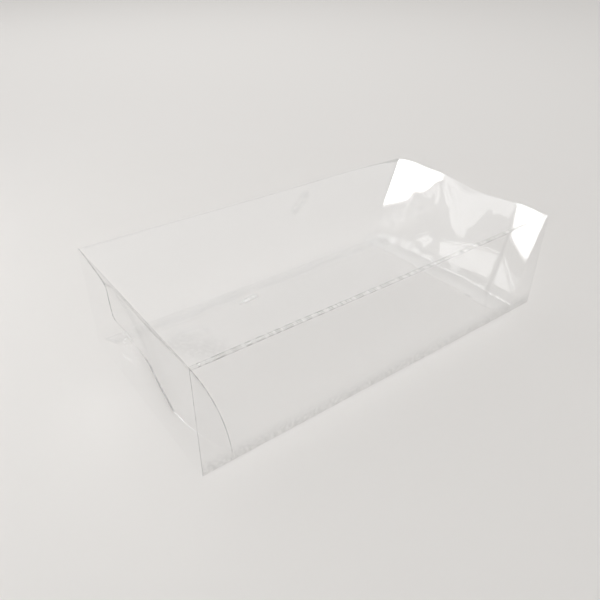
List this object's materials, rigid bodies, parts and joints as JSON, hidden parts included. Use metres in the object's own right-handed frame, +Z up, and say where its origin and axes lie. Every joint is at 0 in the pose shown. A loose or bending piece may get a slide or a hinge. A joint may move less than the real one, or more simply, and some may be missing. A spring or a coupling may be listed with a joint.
{
  "type": "clear folding box",
  "caption": "Clear film folding box with a tuck lid at each end, both lids leaning into the box.",
  "frame": {"origin": "middle of the rectangle that the box stands on", "axes": "+Z up; +Y along the box's length, from the near lid to the far lid; +X across its width"},
  "size_m": [0.1, 0.19, 0.05],
  "materials": {
    "clear_film": "clear gloss film"
  },
  "bodies": {
    "sleeve": {"sleeve": "clear_film"},
    "near_lid": {"near_lid": "clear_film"},
    "far_lid": {"far_lid": "clear_film"}
  },
  "joints": [
    {"name": "near_lid_crease", "type": "hinge", "parent": "sleeve", "child": "near_lid", "pos_m": [0, -0.09485, 0.04985], "axis": [-1, 0, 0], "range_deg": [0, 180]},
    {"name": "far_lid_crease", "type": "hinge", "parent": "sleeve", "child": "far_lid", "pos_m": [0, 0.09485, 0.04985], "axis": [1, 0, 0], "range_deg": [0, 180]}
  ]
}
